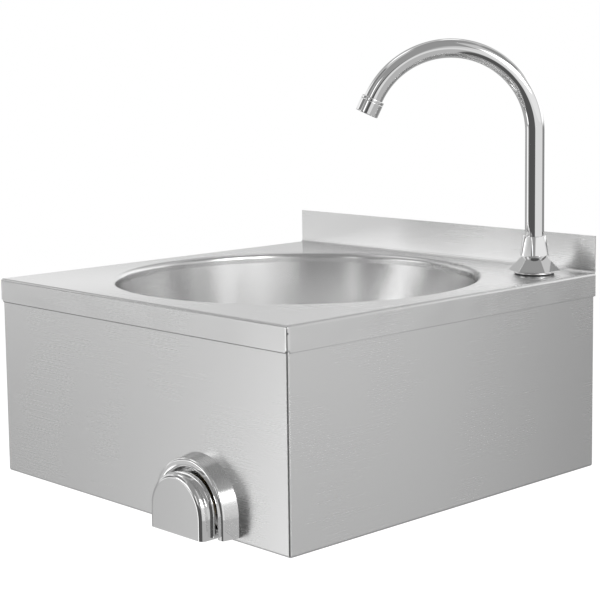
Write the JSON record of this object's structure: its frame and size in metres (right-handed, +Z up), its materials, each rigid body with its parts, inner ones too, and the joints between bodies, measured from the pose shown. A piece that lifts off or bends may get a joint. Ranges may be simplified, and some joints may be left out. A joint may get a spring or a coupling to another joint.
{
  "type": "wall-hung hand wash basin",
  "caption": "Square wall-hung stainless hand wash basin with a round bowl, a short splashback, a swan-neck swivel spout and a knee-operated valve on its front panel.",
  "frame": {"origin": "on the wall plane, half-way across the basin, on the line of the wall bracket's two screw holes", "axes": "+X to the right as seen from the front, +Y into the wall, +Z up"},
  "size_m": [0.4, 0.4276, 0.4459],
  "materials": {
    "satin_steel": "fine satin-brushed stainless sheet",
    "rail_steel": "mill-finish stainless sheet",
    "chrome": "polished chrome plate",
    "pad_chrome": "satin-faced chrome with polished edges",
    "polished_steel": "polished stainless",
    "brass": "turned brass",
    "nickel": "nickel plate",
    "zinc": "zinc plate",
    "black_rubber": "moulded rubber",
    "fibre": "pressed fibre",
    "white_plastic": "moulded plastic",
    "filter_mesh": "woven steel mesh",
    "waste_chrome": "chromed brass",
    "knob_plastic": "black moulded plastic"
  },
  "bodies": {
    "root": {"deck": "satin_steel", "bowl": "satin_steel", "skirt": "satin_steel", "hook_rail": "rail_steel", "wall_bracket": "rail_steel", "waste_strainer": "polished_steel", "waste_screw": "polished_steel", "waste_upper_seal": "black_rubber", "waste_lower_seal": "black_rubber", "waste_body": "waste_chrome", "tap_foot_seal": "black_rubber", "tap_base": "chrome", "spout_nut": "chrome", "spout_slip_ring": "white_plastic", "tap_shank": "brass", "tap_rubber_washer": "black_rubber", "tap_steel_washer": "zinc", "tap_back_nut": "brass", "knee_housing": "chrome", "housing_screws": "polished_steel", "pad_pin": "polished_steel", "valve_body": "brass", "valve_lock_nut": "brass", "valve_panel_washer": "black_rubber", "valve_gland": "brass", "spindle_o_ring": "black_rubber", "valve_spring": "polished_steel", "valve_inlet": "brass", "riser_pipe": "nickel", "supply_pipe": "nickel", "pipe_nuts": "nickel", "pipe_seals": "fibre", "mixer_body": "brass", "mixer_bonnet": "brass", "check_valves": "white_plastic", "inlet_filters": "filter_mesh"},
    "spout": {"spout_tube": "chrome", "spout_tail": "brass", "spout_o_rings": "black_rubber", "aerator_shell": "chrome", "aerator_insert": "white_plastic", "aerator_washer": "black_rubber"},
    "pad": {"knee_pad": "pad_chrome"},
    "valve_spindle": {"spindle": "brass", "poppet_washer": "black_rubber"},
    "mixer_control": {"mixer_spindle": "brass", "mixer_knob": "knob_plastic", "knob_screw": "polished_steel"}
  },
  "joints": [
    {"name": "spout_swivel", "type": "hinge", "parent": "root", "child": "spout", "pos_m": [0.16, -0.042, 0.04], "axis": [0, 0, 1], "range_deg": [-55, 145]},
    {"name": "pad_hinge", "type": "hinge", "parent": "root", "child": "pad", "pos_m": [0.091, -0.4086, -0.1375], "axis": [-1, 0, 0], "range_deg": [0, 7], "stiffness_Nm_per_rad": 1.4, "springref_deg": -6.88},
    {"name": "spindle_slide", "type": "slide", "parent": "root", "child": "valve_spindle", "axis": [0, 1, 0], "range_m": [0, 0.0027], "deforming": ["valve_spring"]},
    {"name": "mixer_turn", "type": "hinge", "parent": "root", "child": "mixer_control", "pos_m": [0.091, -0.07, -0.116], "axis": [0, 0, -1], "range_deg": [-90, 90]}
  ],
  "couplings": [
    {"joint": "spindle_slide", "follows": "pad_hinge", "m_per_rad": 0.0215}
  ]
}
